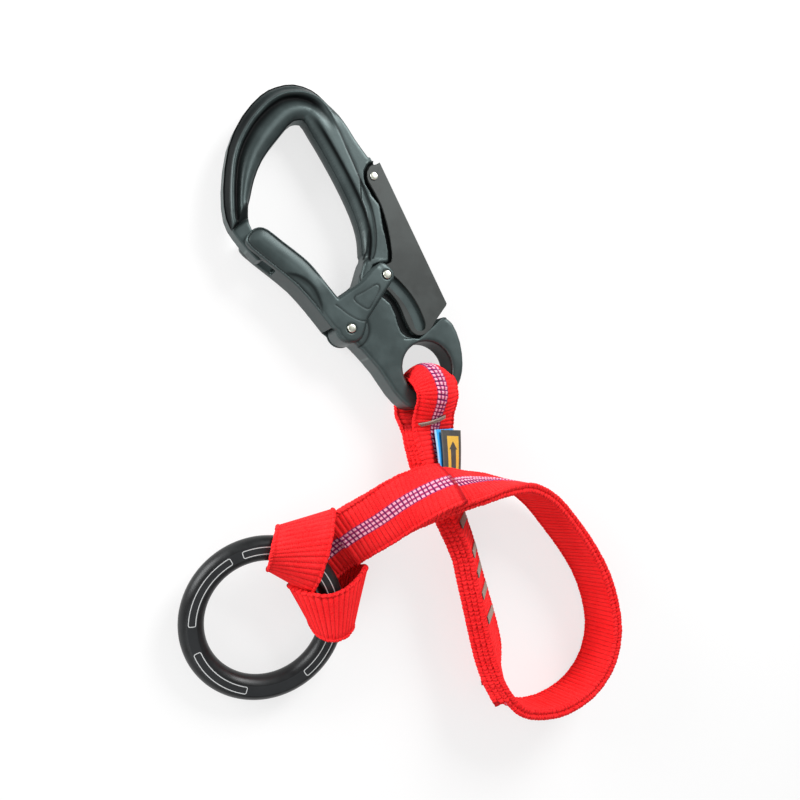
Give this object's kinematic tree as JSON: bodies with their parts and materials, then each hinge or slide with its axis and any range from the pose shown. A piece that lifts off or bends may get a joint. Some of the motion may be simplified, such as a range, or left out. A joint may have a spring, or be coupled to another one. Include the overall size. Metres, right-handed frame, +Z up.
{
  "type": "rescue cowtail",
  "caption": "Short webbing lanyard with a double-action connector hook sewn to one end and a closed metal ring hitched to the other.",
  "frame": {"origin": "on the surface that the cowtail lies on, in the middle of its footprint", "axes": "+Z up from that surface, +Y towards the tip of the hook as it lies, +X towards the webbing's long loop"},
  "size_m": [0.2067, 0.2852, 0.0406],
  "materials": {
    "anodised_hook": "grey-green hard anodised, satin",
    "ring_alloy": "black anodised, satin",
    "steel": "satin",
    "webbing_red": "woven flat webbing with a tracer stripe",
    "thread": "dense zigzag stitching",
    "label_blue": "woven tag",
    "label_dark": "woven tag"
  },
  "bodies": {
    "sling": {"webbing_inner": "webbing_red", "webbing_outer": "webbing_red", "webbing_tail": "webbing_red", "webbing_overlap": "webbing_red", "hitch_wrap_upper": "webbing_red", "hitch_wrap_lower": "webbing_red", "hitch_bight": "webbing_red", "bartack_eye": "thread", "bartack_1": "thread", "bartack_2": "thread", "bartack_3": "thread", "bartack_4": "thread", "bartack_5": "thread", "label_blue": "label_blue", "label_black": "label_dark"},
    "hook": {"hook_body": "anodised_hook", "gate_pivot_rivet": "steel", "gate_spring": "steel", "trigger_pivot_rivet": "steel", "trigger_spring": "steel"},
    "gate": {"gate": "anodised_hook", "lock_pin_front": "steel", "lock_pin_rear": "steel"},
    "trigger": {"trigger_lever": "anodised_hook"},
    "ring": {"ring": "ring_alloy"}
  },
  "joints": [
    {"name": "hook_swing", "type": "hinge", "parent": "sling", "child": "hook", "pos_m": [0.00518, 0.01777, 0.01014], "axis": [0, 0, 1], "range_deg": [-60, 40]},
    {"name": "gate_swing", "type": "hinge", "parent": "hook", "child": "gate", "pos_m": [-0.03282, 0.03317, 0.01014], "axis": [0, 0, -1], "range_deg": [0, 42], "stiffness_Nm_per_rad": 0.05, "springref_deg": -20.05},
    {"name": "trigger_press", "type": "hinge", "parent": "hook", "child": "trigger", "pos_m": [-0.02182, 0.10437, 0.01014], "axis": [0, 0, -1], "range_deg": [0, 2.8], "stiffness_Nm_per_rad": 0.05, "springref_deg": -5.73},
    {"name": "ring_turn", "type": "hinge", "parent": "sling", "child": "ring", "pos_m": [-0.06842, -0.09083, 0.01061], "axis": [-0.0542, -0.1626, 0.9852], "continuous": true}
  ],
  "couplings": [
    {"joint": "trigger_press", "follows": "gate_swing", "ratio": 0.065}
  ]
}
